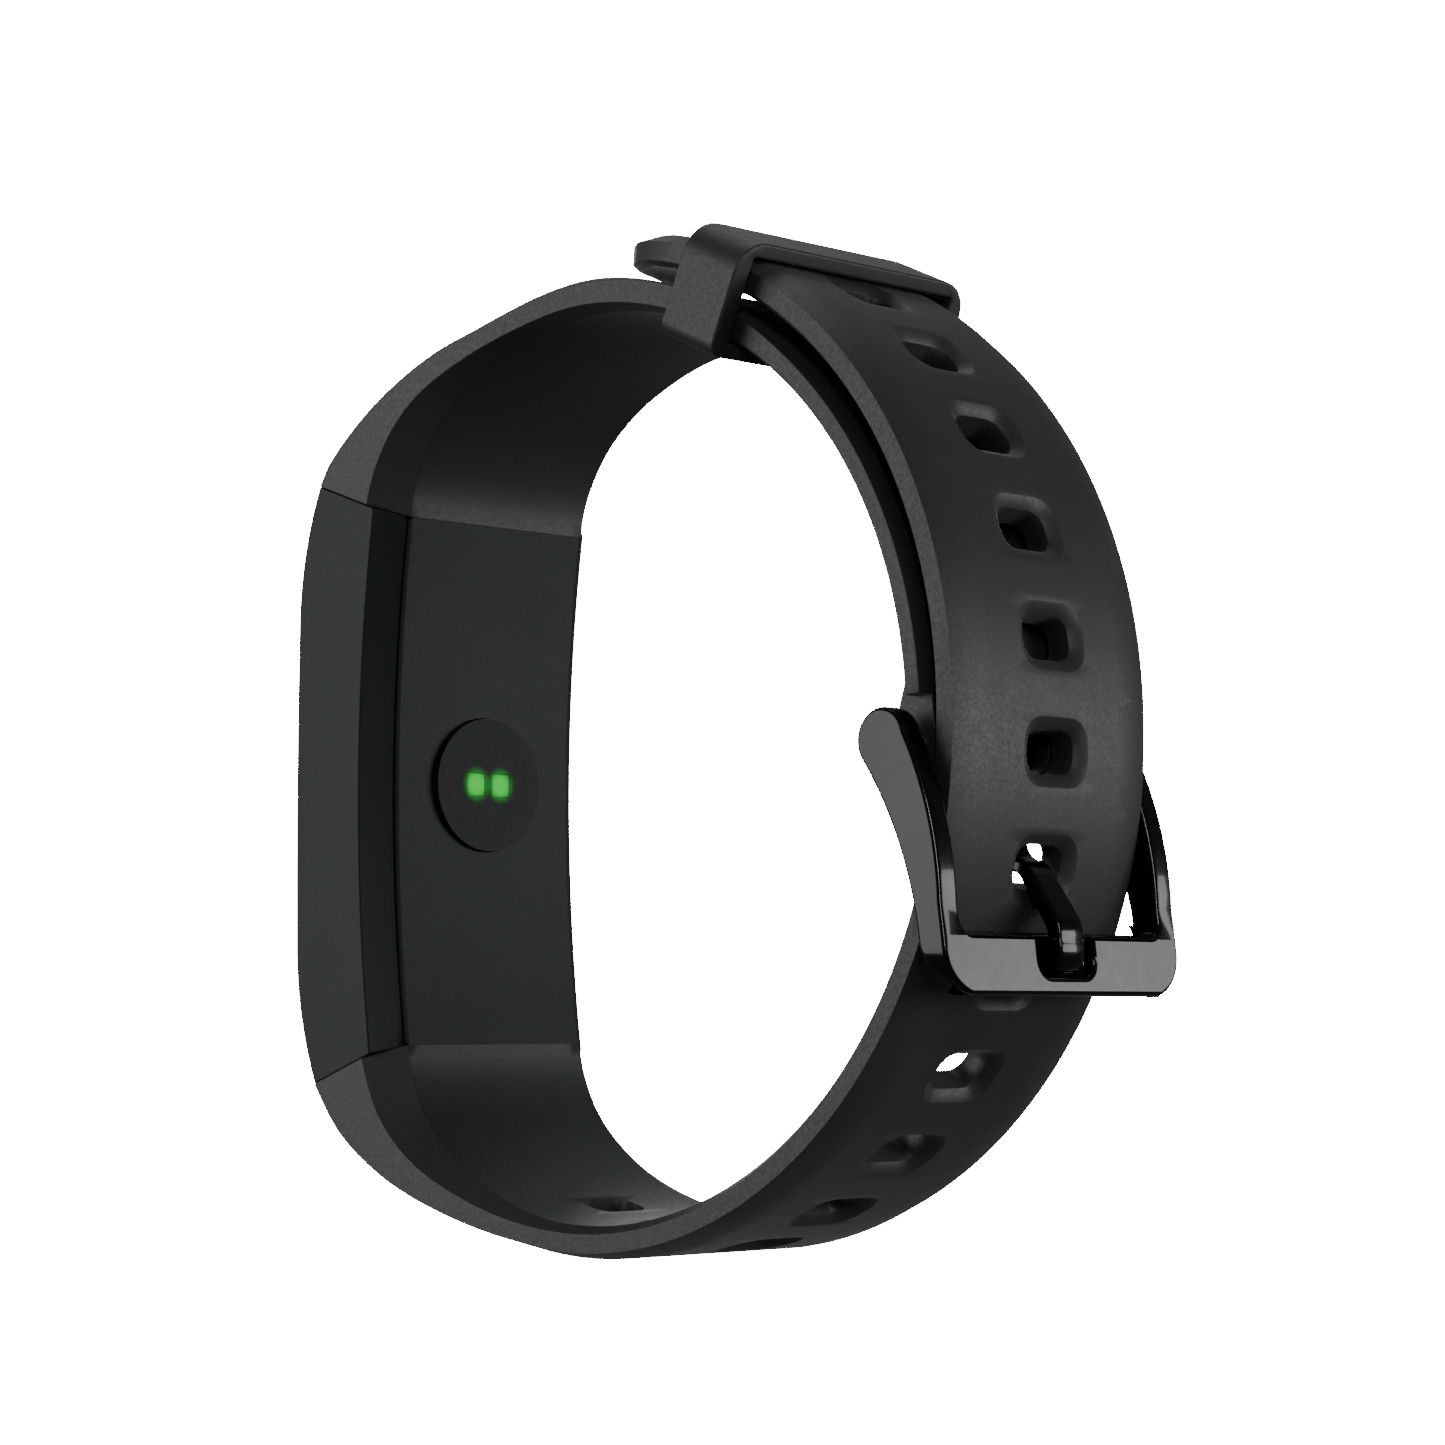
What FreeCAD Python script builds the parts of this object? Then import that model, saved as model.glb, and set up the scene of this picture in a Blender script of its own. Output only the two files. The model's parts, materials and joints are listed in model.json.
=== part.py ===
import FreeCAD, Part
import math
import os
import Sketcher

# Fitness tracker band, closed and buckled as it sits round a wrist, in millimetres.
#
# The origin is the centre of the round that the two straps follow. +Z is up, along the tracker
# pod; the pod is at -X, the buckle at +X, and the wrist passes through along Y.
# Both straps are arcs about the origin, so a place on them is a radius and an angle in the
# XZ plane, measured from +X towards +Z. The pod's pieces are drawn in the pod's own frame:
# x = 0 at the skin side of its ends, z = 0 halfway along it. The buckle's pieces are drawn
# about the spring bar's axis.

V = FreeCAD.Vector
doc = FreeCAD.newDocument("FitnessTrackerBand")
sheet = doc.addObject("Spreadsheet::Sheet", "Dims")

DIMENSIONS = [
    # pod
    ("pod_width", 18.0, "pod and strap width where they meet"),
    ("pod_centre_x", -16.8, "pod frame in the document"),
    ("pod_centre_z", -1.0, "pod frame in the document"),
    ("joint_half", 16.64, "half length of the pod on the skin side"),
    ("joint_depth", 7.14, "joint line, front to back"),
    ("joint_rise", 2.52, "how much longer the pod is at the front"),
    ("skin_sagitta", 1.22, "hollow of the skin side over its length"),
    ("front_flat_half", 10.0, "half length of the nearly flat front"),
    ("front_end_radius", 21.9, "front curve towards each end"),
    ("bevel_deep", 2.4, "inner bevel along the side face"),
    ("bevel_wide", 1.72, "inner bevel across the skin side"),
    ("cavity_width", 14.6, "hollow inside the housing"),
    ("cavity_length", 30.4, "hollow inside the housing"),
    ("cavity_floor", -2.8, "back of the hollow"),
    ("back_opening_width", 12.4, "opening behind the rear cover"),
    ("back_opening_length", 28.6, "opening behind the rear cover"),
    ("seat_width", 14.3, "seat of the rear cover"),
    ("cover_width", 14.2, "rear cover"),
    ("cover_thickness", 0.95, "rear cover"),
    ("lens_thickness", 1.0, "front lens"),
    ("lens_width", 16.6, "front lens"),
    ("lens_seat_width", 16.7, "seat of the front lens"),
    ("gasket_thickness", 0.15, "glue gasket round the lens"),
    ("gasket_width", 16.4, "glue gasket round the lens"),
    ("gasket_opening_width", 14.8, "glue gasket round the lens"),
    ("gasket_opening_length", 31.0, "glue gasket round the lens"),
    ("tab_width", 11.0, "tongue at each end that holds the strap"),
    ("tab_thickness", 2.2, "tongue at each end that holds the strap"),
    ("tab_reach", 4.6, "tongue at each end that holds the strap"),
    ("socket_width", 11.1, "strap socket for the tongue"),
    # heart-rate sensor
    ("window_radius", 4.27, "round sensor window"),
    ("window_hole_radius", 4.33, "hole for it in the rear cover"),
    ("window_flange_radius", 5.0, "flange behind the rear cover"),
    ("window_proud", 0.45, "how far the window stands proud"),
    ("window_thickness", 1.45, "window without its flange"),
    ("flange_thickness", 0.4, "flange behind the rear cover"),
    ("led_side", 1.5, "green LED, square"),
    ("led_spacing", 2.1, "between the two LEDs"),
    # pieces inside the pod
    ("display_width", 13.0, "display module"),
    ("display_length", 22.0, "display module"),
    ("display_thickness", 1.1, "display module"),
    ("board_width", 13.6, "main board"),
    ("board_length", 29.4, "main board"),
    ("board_thickness", 0.6, "main board"),
    ("battery_width", 12.0, "battery pouch"),
    ("battery_length", 19.0, "battery pouch"),
    ("battery_thickness", 1.9, "battery pouch"),
    ("motor_radius", 3.5, "coin vibration motor"),
    ("motor_thickness", 2.0, "coin vibration motor"),
    ("sensor_board_width", 9.0, "sensor board"),
    ("sensor_board_length", 9.0, "sensor board"),
    ("sensor_board_thickness", 0.4, "sensor board"),
    ("flex_width", 4.6, "sensor ribbon"),
    ("flex_thickness", 0.12, "sensor ribbon"),
    # straps
    ("strap_width", 16.3, "strap away from the pod"),
    ("short_inner_radius", 26.2, "short strap, skin side"),
    ("short_outer_radius", 27.5, "short strap, outer side by the buckle"),
    ("long_inner_radius", 28.15, "long strap, inner side"),
    ("long_outer_radius", 30.15, "long strap, outer side"),
    ("upper_lift", 0.8, "how far the long strap's upper half stands above the lower"),
    ("tip_angle", 90.5, "end of the long strap"),
    ("hole_width", 3.9, "strap hole across the strap"),
    ("hole_length", 2.6, "strap hole along the strap"),
    ("countersink_width", 5.4, "countersink across the strap"),
    ("countersink_depth", 0.5, "countersink"),
    ("hole_depth", 4.6, "cut through the strap, from just outside it"),
    ("hole_pitch", 12.36, "angle between strap holes"),
    ("tongue_hole_angle", -14.95, "hole that the tongue goes through"),
    ("lower_holes", 9, "strap holes on the lower half, from the one above the tongue's"),
    ("upper_holes", 5, "strap holes on the upper half"),
    # keeper
    ("keeper_angle", 65.4, "place of the keeper round the strap"),
    ("keeper_length", 4.7, "keeper along the strap"),
    ("keeper_inner_width", 16.8, "keeper opening across the strap"),
    ("keeper_outer_width", 19.3, "keeper across the strap"),
    ("keeper_inner_low", 25.85, "keeper opening, skin side"),
    ("keeper_inner_high", 31.1, "keeper opening, outer side"),
    ("keeper_outer_low", 25.0, "keeper, skin side"),
    ("keeper_outer_high", 32.0, "keeper, outer side"),
    # buckle
    ("pivot_x", 26.0, "spring bar axis"),
    ("pivot_z", -0.95, "spring bar axis"),
    ("lug_radius", 1.65, "end of the short strap round the spring bar"),
    ("lug_width", 14.4, "end of the short strap"),
    ("lug_bore_radius", 0.78, "tunnel for the spring bar"),
    ("lug_slot_width", 4.6, "slot for the tongue"),
    ("buckle_width", 19.8, "buckle frame"),
    ("buckle_gap", 16.8, "between the buckle's arms"),
    ("arm_end_radius", 1.8, "round end of each arm"),
    ("notch_width", 4.6, "notch in the bar for the tongue"),
    ("pin_hole_radius", 0.45, "hole in each arm"),
    ("pin_hole_reach", 18.8, "end to end of the holes in the arms"),
    ("tongue_width", 2.1, "tongue"),
    ("tongue_shift", 0.15, "slack of the tongue along the spring bar"),
    ("barrel_radius", 1.2, "tongue's barrel round the spring bar"),
    ("barrel_width", 3.4, "tongue's barrel"),
    ("barrel_bore_radius", 0.8, "tongue's barrel"),
    ("tube_radius", 0.75, "spring bar tube"),
    ("tube_length", 15.6, "spring bar tube"),
    ("tube_bore_radius", 0.55, "spring bar tube"),
    ("tube_bore_length", 14.4, "spring bar tube inside its rolled ends"),
    ("tube_mouth_radius", 0.45, "rolled end of the tube"),
    ("pin_radius", 0.42, "spring bar pin"),
    ("pin_head_radius", 0.52, "head of the pin inside the tube"),
    ("pin_head_length", 0.8, "head of the pin inside the tube"),
    ("pin_tip", 9.3, "how far each pin reaches from the middle"),
    ("spring_radius", 0.36, "compression spring, to its wire's middle"),
    ("spring_wire_radius", 0.09, "compression spring"),
    ("spring_pitch", 0.6, "compression spring"),
]

for row, (alias, size, meaning) in enumerate(DIMENSIONS, start=1):
    sheet.set(f"A{row}", meaning)
    sheet.set(f"B{row}", str(size))
    sheet.setAlias(f"B{row}", alias)
doc.recompute()


def dim(alias):
    """A size from the sheet, as a number."""
    return float(sheet.get(alias))


POD = V(dim("pod_centre_x"), 0, dim("pod_centre_z"))
PIVOT = V(dim("pivot_x"), 0, dim("pivot_z"))
nodes = []


def polar(radius, degrees, centre=(0.0, 0.0)):
    """A point in the XZ plane from a radius and an angle."""
    turn = math.radians(degrees)
    return (centre[0] + radius * math.cos(turn), centre[1] + radius * math.sin(turn))


# ---------------------------------------------------------------- FreeCAD helpers

def new_body(label, place=V(0, 0, 0), turn=FreeCAD.Rotation()):
    body = doc.addObject("PartDesign::Body", label)
    body.Label = label
    body.Placement = FreeCAD.Placement(place, turn)
    nodes.append(body)
    return body


def sketch_on(body, role, name, offset=0.0, turn=FreeCAD.Rotation()):
    """A sketch on one of the body's origin planes, lifted by offset along its normal."""
    plane = [f for f in body.Origin.OriginFeatures if f.Role == role][0]
    sketch = body.newObject("Sketcher::SketchObject", f"{body.Name}_{name}")
    sketch.AttachmentSupport = [(plane, "")]
    sketch.MapMode = "FlatFace"
    sketch.AttachmentOffset = FreeCAD.Placement(turn.multVec(V(0, 0, offset)), turn)
    return sketch


def outline(sketch, start, steps):
    """A closed outline: each step is (end,) for a line or (through, end) for an arc."""
    at = start
    first = sketch.GeometryCount
    for step in steps:
        end = step[-1]
        if len(step) == 1:
            sketch.addGeometry(Part.LineSegment(V(*at, 0), V(*end, 0)))
        else:
            sketch.addGeometry(Part.Arc(V(*at, 0), V(*step[0], 0), V(*end, 0)))
        at = end
    return first


def bound(sketch, kind, alias, *where):
    """A driving sketch dimension that takes its value from a cell."""
    index = sketch.addConstraint(Sketcher.Constraint(kind, *where, dim(alias)))
    sketch.setExpression(f"Constraints[{index}]", f"Dims.{alias}")


def circle(sketch, alias, x=0.0, y=0.0):
    index = sketch.addGeometry(Part.Circle(V(x, y, 0), V(0, 0, 1), dim(alias)))
    bound(sketch, "Radius", alias, index)
    sketch.addConstraint(Sketcher.Constraint("DistanceX", -1, 1, index, 3, x))
    sketch.addConstraint(Sketcher.Constraint("DistanceY", -1, 1, index, 3, y))


def rectangle(sketch, wide, tall, x=0.0, y=0.0):
    """A rectangle about (x, y) whose two sizes are cells."""
    half_wide, half_tall = dim(wide) / 2, dim(tall) / 2
    corners = [(x - half_wide, y - half_tall), (x + half_wide, y - half_tall),
               (x + half_wide, y + half_tall), (x - half_wide, y + half_tall)]
    first = outline(sketch, corners[0], [(c,) for c in corners[1:] + corners[:1]])
    for side in range(4):
        after = (side + 1) % 4
        sketch.addConstraint(Sketcher.Constraint("Coincident", first + side, 2, first + after, 1))
        kind = "Horizontal" if side % 2 == 0 else "Vertical"
        sketch.addConstraint(Sketcher.Constraint(kind, first + side))
    bound(sketch, "DistanceX", wide, first, 1, first, 2)
    bound(sketch, "DistanceY", tall, first + 1, 1, first + 1, 2)
    return first


def slot(sketch, wide, tall, x=0.0, y=0.0):
    """A stadium about (x, y), longer along the sketch's x."""
    radius = dim(tall) / 2
    reach = dim(wide) / 2 - radius
    outline(sketch, (x - reach, y - radius), [
        ((x + reach, y - radius),),
        ((x + reach + radius, y), (x + reach, y + radius)),
        ((x - reach, y + radius),),
        ((x - reach - radius, y), (x - reach, y - radius)),
    ])


def extrude(body, kind, sketch, length, both_ways=True, reverse=False):
    """A pad or pocket; its length is a cell, or None to go right through."""
    feature = body.newObject(f"PartDesign::{kind}", f"{body.Name}_{kind}")
    feature.Profile = sketch
    feature.SideType = "Symmetric" if both_ways else "One side"
    feature.Reversed = reverse
    if length is None:
        feature.Type = "ThroughAll"
    else:
        feature.setExpression("Length", f"Dims.{length}")
    before = body.Shape.Volume if kind == "Pocket" else 0.0
    doc.recompute()
    change = feature.Shape.Volume - before
    if kind == "Pocket" and change > -1e-6:
        raise RuntimeError(f"{feature.Name} cuts nothing")
    return feature


def pad(body, sketch, length, **ways):
    return extrude(body, "Pad", sketch, length, **ways)


def pocket(body, sketch, length=None, **ways):
    return extrude(body, "Pocket", sketch, length, **ways)


def block(label, front, sizes, y=0.0, z=0.0):
    """A Part::Box in the pod: its front face is at x = front, its middle at (y, z)."""
    box = doc.addObject("Part::Box", label)
    box.Label = label
    for prop, size in zip(("Length", "Width", "Height"), sizes):
        if isinstance(size, str):
            box.setExpression(prop, f"Dims.{size}")
        else:
            setattr(box, prop, size)
    doc.recompute()
    corner = V(front, y - box.Width.Value / 2, z - box.Height.Value / 2)
    box.Placement = FreeCAD.Placement(POD + corner, FreeCAD.Rotation())
    nodes.append(box)
    return box


def shape_node(label, shape, place=V(0, 0, 0)):
    node = doc.addObject("Part::Feature", label)
    node.Label = label
    node.Shape = shape
    node.Placement = FreeCAD.Placement(place, FreeCAD.Rotation()) * shape.Placement
    nodes.append(node)
    return node


# ---------------------------------------------------------------- outlines of the pod

FRONT_X = -9.25
FRONT_END_X = FRONT_X + 0.1


def front_point(z, inset=0.0):
    """A point of the pod's front curve, moved in by inset."""
    beyond = abs(z) - dim("front_flat_half")
    radius = dim("front_end_radius")
    if beyond <= 0:
        return (FRONT_X + inset, z)
    centre_x = FRONT_END_X + radius
    return (centre_x - math.sqrt((radius - inset) ** 2 - beyond ** 2), z)


def front_line(half, inset):
    """Steps along the front from +half to -half."""
    flat = dim("front_flat_half")
    edge = (FRONT_END_X + inset, flat)
    return [
        (front_point((half + flat) / 2, inset), edge),
        (front_point(0, inset), (edge[0], -flat)),
        (front_point(-(half + flat) / 2, inset), front_point(-half, inset)),
    ]


JOINT_SKIN = (0.0, dim("joint_half"))
JOINT_FRONT = (-dim("joint_depth"), dim("joint_half") + dim("joint_rise"))
JOINT_LONG = math.hypot(dim("joint_depth"), dim("joint_rise"))
ALONG_JOINT = (-dim("joint_depth") / JOINT_LONG, dim("joint_rise") / JOINT_LONG)
OUT_OF_JOINT = (ALONG_JOINT[1], -ALONG_JOINT[0])


def at_joint(along, out, end):
    """A point near a joint face: along it from the skin side, and out of the pod."""
    x = JOINT_SKIN[0] + along * ALONG_JOINT[0] + out * OUT_OF_JOINT[0]
    z = JOINT_SKIN[1] + along * ALONG_JOINT[1] + out * OUT_OF_JOINT[1]
    return (x, end * z)


def tab_outline(sketch, end, gap, shift=(0.0, 0.0)):
    """The tongue on the joint face of one end (end is +1 or -1), grown by gap."""
    low = JOINT_LONG / 2 - dim("tab_thickness") / 2 - gap
    high = JOINT_LONG / 2 + dim("tab_thickness") / 2 + gap
    reach = dim("tab_reach") + gap
    corners = [at_joint(low, -0.6, end), at_joint(low, reach, end),
               at_joint(high, reach, end), at_joint(high, -0.6, end)]
    corners = [(c[0] + shift[0], c[1] + shift[1]) for c in corners]
    outline(sketch, corners[0], [(c,) for c in corners[1:] + corners[:1]])


# ---------------------------------------------------------------- pod

def main_housing():
    body = new_body("main_housing", POD)
    profile = sketch_on(body, "XZ_Plane", "profile")
    lower_front = (JOINT_FRONT[0], -JOINT_FRONT[1])
    lower_skin = (0.0, -dim("joint_half"))
    steps = [(JOINT_FRONT,)] + front_line(JOINT_FRONT[1], 0.0)[:2]
    steps += [(front_point(-15.0), lower_front), (lower_skin,)]
    steps += [((-dim("skin_sagitta"), 0.0), JOINT_SKIN)]
    outline(profile, JOINT_SKIN, steps)
    solid = pad(body, profile, "pod_width")

    half = dim("pod_width") / 2
    edges = []
    for index, edge in enumerate(body.Shape.Edges, start=1):
        middle = edge.valueAt((edge.FirstParameter + edge.LastParameter) / 2) - POD
        on_side = abs(abs(middle.y) - half) < 1e-6
        if on_side and middle.x > -dim("skin_sagitta") - 0.1 and abs(middle.z) < 1.0:
            edges.append(f"Edge{index}")
    bevel = body.newObject("PartDesign::Chamfer", "inner_bevel")
    bevel.Base = (solid, edges)
    bevel.ChamferType = "Two distances"
    bevel.setExpression("Size", "Dims.bevel_deep")
    bevel.setExpression("Size2", "Dims.bevel_wide")
    doc.recompute()

    lens_seat = sketch_on(body, "XZ_Plane", "lens_seat")
    top, deep = 16.65, dim("lens_thickness") + dim("gasket_thickness") + 0.04
    outline(lens_seat, (-12.0, top), [
        (front_point(top, deep),), *front_line(top, deep), ((-12.0, -top),), ((-12.0, top),)])
    pocket(body, lens_seat, "lens_seat_width")

    cavity = sketch_on(body, "YZ_Plane", "cavity", dim("cavity_floor"))
    rectangle(cavity, "cavity_width", "cavity_length")
    pocket(body, cavity, both_ways=False)

    cover_seat = sketch_on(body, "XZ_Plane", "cover_seat")
    deep = -dim("cover_thickness") - 0.02
    outline(cover_seat, (deep, 19.0), [
        ((deep - dim("skin_sagitta"), 0.0), (deep, -19.0)),
        ((2.0, -19.0),), ((2.0, 19.0),), ((deep, 19.0),)])
    pocket(body, cover_seat, "seat_width")

    opening = sketch_on(body, "YZ_Plane", "opening")
    rectangle(opening, "back_opening_width", "back_opening_length")
    pocket(body, opening)

    for end, name in ((1, "upper_tab"), (-1, "lower_tab")):
        tab = sketch_on(body, "XZ_Plane", name)
        tab_outline(tab, end, 0.0)
        pad(body, tab, "tab_width")


def rear_cover():
    body = new_body("rear_cover", POD)
    profile = sketch_on(body, "XZ_Plane", "profile")
    deep = -dim("cover_thickness")
    side = deep * ALONG_JOINT[1] / ALONG_JOINT[0]
    ends = dim("joint_half") - side
    outline(profile, JOINT_SKIN, [
        ((-dim("skin_sagitta"), 0.0), (0.0, -JOINT_SKIN[1])),
        ((deep, -ends),),
        ((deep - dim("skin_sagitta"), 0.0), (deep, ends)),
        (JOINT_SKIN,)])
    pad(body, profile, "cover_width")
    hole = sketch_on(body, "YZ_Plane", "window_hole")
    circle(hole, "window_hole_radius")
    pocket(body, hole)


WINDOW_FACE = -dim("skin_sagitta") + dim("window_proud")
SENSOR_FRONT = WINDOW_FACE - dim("window_thickness") - 0.75


def sensor_window():
    body = new_body("sensor_window", POD)
    flange = sketch_on(body, "YZ_Plane", "flange", WINDOW_FACE - dim("window_thickness"))
    circle(flange, "window_flange_radius")
    pad(body, flange, "flange_thickness", both_ways=False, reverse=True)
    disc = sketch_on(body, "YZ_Plane", "disc", WINDOW_FACE - dim("window_thickness"))
    circle(disc, "window_radius")
    pad(body, disc, "window_thickness", both_ways=False)
    wells = sketch_on(body, "YZ_Plane", "led_wells")
    for side in (-1, 1):
        rectangle(wells, "led_side", "led_side", side * dim("led_spacing") / 2)
    pocket(body, wells)


def green_leds():
    """Two LEDs that stand on the sensor board and reach the window's face."""
    leds = []
    side = dim("led_side") - 0.1
    reach = WINDOW_FACE - 0.04 - SENSOR_FRONT
    for y in (-dim("led_spacing") / 2, dim("led_spacing") / 2):
        leds.append(Part.makeBox(reach, side, side, V(SENSOR_FRONT, y - side / 2, -side / 2)))
    shape_node("green_leds", Part.makeCompound(leds), POD)


def pod_electronics():
    """Flat stack from the front lens to the sensor window, with its gaps."""
    lens_back = FRONT_X + dim("lens_thickness")
    block("touch_film", lens_back + 0.3, (0.15, 13.6, 23.6))
    block("display_module", lens_back + 0.5,
          ("display_thickness", "display_width", "display_length"), z=1.5)
    board_front = lens_back + 1.7
    block("main_board", board_front, ("board_thickness", "board_width", "board_length"))
    block("wireless_chip", board_front - 0.7, (0.7, 4.0, 4.0), y=-2.6, z=-12.0)
    block("motion_sensor", board_front - 0.6, (0.6, 2.0, 2.0), y=2.6, z=-11.0)
    block("memory_chip", board_front - 0.5, (0.5, 2.4, 1.8), y=2.6, z=-13.6)
    battery_front = board_front + dim("board_thickness") + 0.1
    block("battery", battery_front,
          ("battery_thickness", "battery_width", "battery_length"), z=5.0)
    block("sensor_board", SENSOR_FRONT - dim("sensor_board_thickness"),
          ("sensor_board_thickness", "sensor_board_width", "sensor_board_length"))
    block("photodiode", SENSOR_FRONT, (0.3, 1.8, 1.8), z=2.6)

    motor = doc.addObject("Part::Cylinder", "vibration_motor")
    motor.Label = "vibration_motor"
    motor.setExpression("Radius", "Dims.motor_radius")
    motor.setExpression("Height", "Dims.motor_thickness")
    motor.Placement = FreeCAD.Placement(
        POD + V(battery_front, 0, -9.6), FreeCAD.Rotation(V(0, 1, 0), 90))
    nodes.append(motor)


def sensor_flex():
    """Ribbon from the sensor board round the battery's edge to the main board."""
    body = new_body("sensor_flex", POD)
    board_back = FRONT_X + dim("lens_thickness") + 1.7 + dim("board_thickness")
    sensor_back = SENSOR_FRONT - dim("sensor_board_thickness")
    run = sketch_on(body, "XZ_Plane", "run")
    low, thick = -5.6, dim("flex_thickness")
    outline(run, (sensor_back, -2.0), [
        ((sensor_back, low - thick),), ((board_back, low - thick),), ((board_back, low),),
        ((sensor_back - thick, low),), ((sensor_back - thick, -2.0),), ((sensor_back, -2.0),)])
    pad(body, run, "flex_width")


def front_lens():
    body = new_body("front_lens", POD)
    profile = sketch_on(body, "XZ_Plane", "profile")
    top, deep = 16.6, dim("lens_thickness")
    back = [(s[0], s[1]) for s in front_line(top, deep)]
    lower = front_point(-top, 0.0)
    rising = [(front_point(-(top + dim("front_flat_half")) / 2),
               (FRONT_END_X, -dim("front_flat_half"))),
              (front_point(0), (FRONT_END_X, dim("front_flat_half"))),
              (front_point((top + dim("front_flat_half")) / 2), front_point(top))]
    outline(profile, front_point(top), [(front_point(top, deep),), *back, (lower,), *rising])
    pad(body, profile, "lens_width")


def lens_gasket():
    """A thin frame of adhesive between the lens and its seat, bent to the same curve."""
    body = new_body("lens_gasket", POD)
    profile = sketch_on(body, "XZ_Plane", "profile")
    top, near = 16.5, dim("lens_thickness") + 0.02
    far = near + dim("gasket_thickness")
    flat = dim("front_flat_half")
    rising = [(front_point(-(top + flat) / 2, near), (FRONT_END_X + near, -flat)),
              (front_point(0, near), (FRONT_END_X + near, flat)),
              (front_point((top + flat) / 2, near), front_point(top, near))]
    outline(profile, front_point(top, near), [
        (front_point(top, far),), *front_line(top, far), (front_point(-top, near),), *rising])
    pad(body, profile, "gasket_width")
    middle = sketch_on(body, "YZ_Plane", "middle")
    rectangle(middle, "gasket_opening_width", "gasket_opening_length")
    pocket(body, middle)


def rear_seal():
    """A rubber frame in the opening behind the rear cover."""
    outer, inner, thickness = (12.3, 28.5), (11.2, 27.2), 0.4
    x = dim("cavity_floor") + 0.02
    outside = Part.makeBox(thickness, *outer, V(x, -outer[0] / 2, -outer[1] / 2))
    inside = Part.makeBox(thickness * 3, *inner, V(x - thickness, -inner[0] / 2, -inner[1] / 2))
    shape_node("rear_seal", outside.cut(inside), POD)


def charge_contacts():
    """Three gold pads let into the lower tongue's skin side."""
    pads = []
    start = JOINT_LONG / 2 - dim("tab_thickness") / 2
    place = at_joint(start, 1.4, -1)
    tilt = math.degrees(math.atan2(OUT_OF_JOINT[0], OUT_OF_JOINT[1]))
    for y in (-3.2, 0.0, 3.2):
        one = Part.makeBox(0.04, 1.6, 2.4, V(0, -0.8, -2.4))
        one.rotate(V(0, 0, 0), V(0, 1, 0), -tilt)
        one.translate(V(place[0], y, place[1]))
        pads.append(one)
    shape_node("charge_contacts", Part.makeCompound(pads), POD)


# ---------------------------------------------------------------- straps

def in_ring(point, end=1):
    """A pod-frame point (x, z) in the ring's frame."""
    return (point[0] + POD.x, end * point[1] + POD.z)


def corner_arc(ring_radius, joint, degrees):
    """The arc from the joint that runs into the ring at the given angle: through, end."""
    ux, uz = polar(1.0, degrees)
    along = ux * joint[0] + uz * joint[1]
    square = joint[0] ** 2 + joint[1] ** 2
    radius = ring_radius ** 2 - 2 * ring_radius * along + square
    radius /= 2 * (ring_radius - along)
    centre = ((ring_radius - radius) * ux, (ring_radius - radius) * uz)
    start = math.degrees(math.atan2(joint[1] - centre[1], joint[0] - centre[0]))
    if degrees < 0 and start > 0:
        start -= 360
    return polar(radius, (start + degrees) / 2, centre), polar(ring_radius, degrees)


def narrow_strap(body):
    """Take the strap from the pod's width down to its own, in plan."""
    plan = sketch_on(body, "XY_Plane", "plan")
    wide, narrow = dim("pod_width") / 2, dim("strap_width") / 2
    for side in (-1, 1):
        corners = [(-18.0, side * wide), (-4.0, side * narrow), (40.0, side * narrow),
                   (40.0, side * 12.0), (-18.0, side * 12.0)]
        outline(plan, corners[0], [(c,) for c in corners[1:] + corners[:1]])
    pocket(body, plan)


def strap_short():
    body = new_body("strap_short")
    profile = sketch_on(body, "XZ_Plane", "profile")
    inner, outer = dim("short_inner_radius"), dim("short_outer_radius")
    skin, front = in_ring(JOINT_SKIN), in_ring(JOINT_FRONT)
    lug = (PIVOT.x, PIVOT.z)
    round_lug = dim("lug_radius")
    outline(profile, skin, [
        corner_arc(inner, skin, 113.0),
        (polar(inner, 60.0), polar(inner, 7.0)),
        (polar(round_lug, 150.0, lug),),
        (polar(round_lug, -90.0, lug), polar(round_lug, 12.0, lug)),
        (polar(outer, 7.0),),
        (polar(outer, 40.0), polar(outer, 60.0)),
        (polar(27.92, 74.0), polar(28.3, 88.0)),
        (polar(28.28, 98.0), polar(28.2, 108.0)),
        (polar(28.9, 122.5), polar(29.95, 136.0)),
        (polar(30.15, 139.8), front),
        (skin,)])
    pad(body, profile, "pod_width")
    narrow_strap(body)

    socket = sketch_on(body, "XZ_Plane", "socket")
    tab_outline(socket, 1, 0.05, (POD.x, POD.z))
    pocket(body, socket, "socket_width")

    sides = sketch_on(body, "XZ_Plane", "lug_sides", dim("lug_width") / 2)
    mirror = sketch_on(body, "XZ_Plane", "lug_sides_far", -dim("lug_width") / 2)
    for sketch, away in ((sides, True), (mirror, False)):
        outline(sketch, (22.0, 1.6), [((30.0, 1.6),), ((30.0, -4.0),), ((22.0, -4.0),),
                                      ((22.0, 1.6),)])
        pocket(body, sketch, both_ways=False, reverse=away)

    tunnel = sketch_on(body, "XZ_Plane", "tunnel")
    circle(tunnel, "lug_bore_radius", *lug)
    pocket(body, tunnel)
    gap = sketch_on(body, "XZ_Plane", "tongue_slot")
    outline(gap, (23.0, 0.75), [((30.0, 0.75),), ((30.0, -4.0),), ((23.0, -4.0),),
                                ((23.0, 0.75),)])
    pocket(body, gap, "lug_slot_width")


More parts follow.
